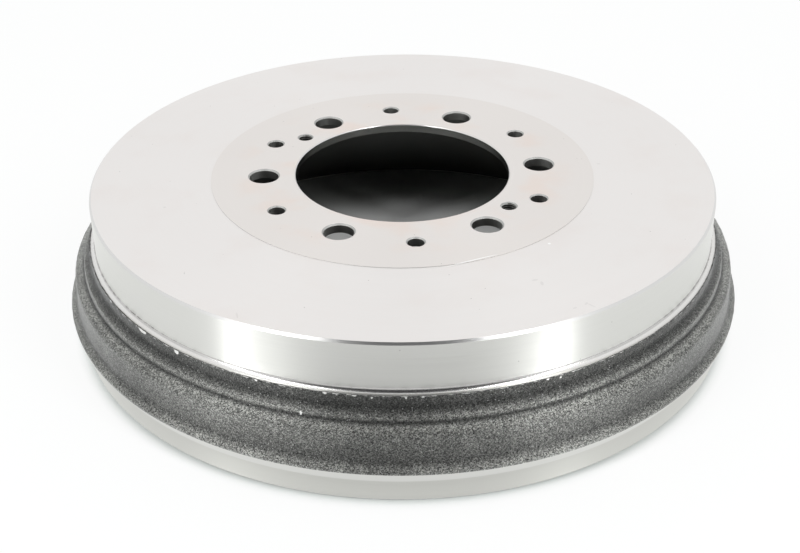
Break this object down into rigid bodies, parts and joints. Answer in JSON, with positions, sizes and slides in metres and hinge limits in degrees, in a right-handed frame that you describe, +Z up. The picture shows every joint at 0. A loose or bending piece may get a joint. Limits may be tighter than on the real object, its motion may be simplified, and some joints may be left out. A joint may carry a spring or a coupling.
{
  "type": "brake drum",
  "caption": "Cast iron brake drum: a shallow turned bowl with a flat drilled wheel face, a turned band, a flanged as-cast skirt and a turned open rim.",
  "frame": {"origin": "centre of the open rim, on the plane that the drum stands on", "axes": "+Z up the drum's axis, from the open rim to the wheel face; +X through the first wheel stud hole"},
  "size_m": [0.3432, 0.3432, 0.075],
  "materials": {
    "grey_iron": "fine-turned and satin on the faces, band and rim; dark, grainy casting skin on the skirt"
  },
  "bodies": {
    "root": {"brake_drum": "grey_iron"}
  },
  "joints": []
}
